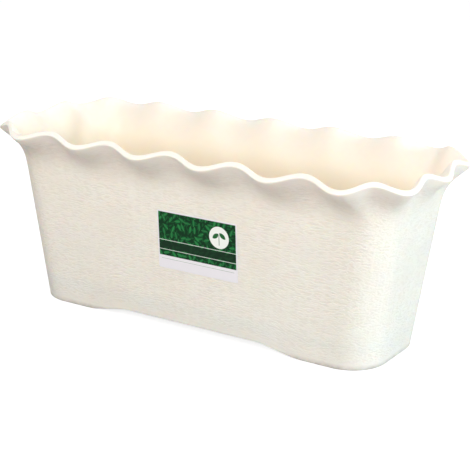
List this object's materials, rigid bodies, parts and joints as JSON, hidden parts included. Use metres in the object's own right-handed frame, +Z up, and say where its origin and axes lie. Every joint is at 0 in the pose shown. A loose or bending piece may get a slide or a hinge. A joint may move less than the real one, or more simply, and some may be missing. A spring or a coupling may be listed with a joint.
{
  "type": "window box planter",
  "caption": "Long moulded planter with leaning walls, a flared wavy rim, two end feet, a lift-out drain grid and push-in drain plugs.",
  "frame": {"origin": "middle of the footprint, on the surface that the feet stand on", "axes": "+X along the planter's length, -Y out of the labelled front, +Z up"},
  "size_m": [0.5252, 0.2244, 0.2073],
  "materials": {
    "cream_plastic": "matte",
    "grid_plastic": "matte",
    "plug_rubber": "matte",
    "printed_film": "satin"
  },
  "bodies": {
    "tub": {"planter_tub": "cream_plastic", "label": "printed_film"},
    "grid": {"drain_grid": "grid_plastic"},
    "plug_left": {"drain_plug_left": "plug_rubber"},
    "plug_right": {"drain_plug_right": "plug_rubber"}
  },
  "joints": [
    {"name": "grid_lift", "type": "slide", "parent": "tub", "child": "grid", "axis": [0, 0, 1], "range_m": [0, 0.2]},
    {"name": "plug_left_pull", "type": "slide", "parent": "tub", "child": "plug_left", "axis": [0, 0, -1], "range_m": [0, 0.005]},
    {"name": "plug_right_pull", "type": "slide", "parent": "tub", "child": "plug_right", "axis": [0, 0, -1], "range_m": [0, 0.005]}
  ]
}
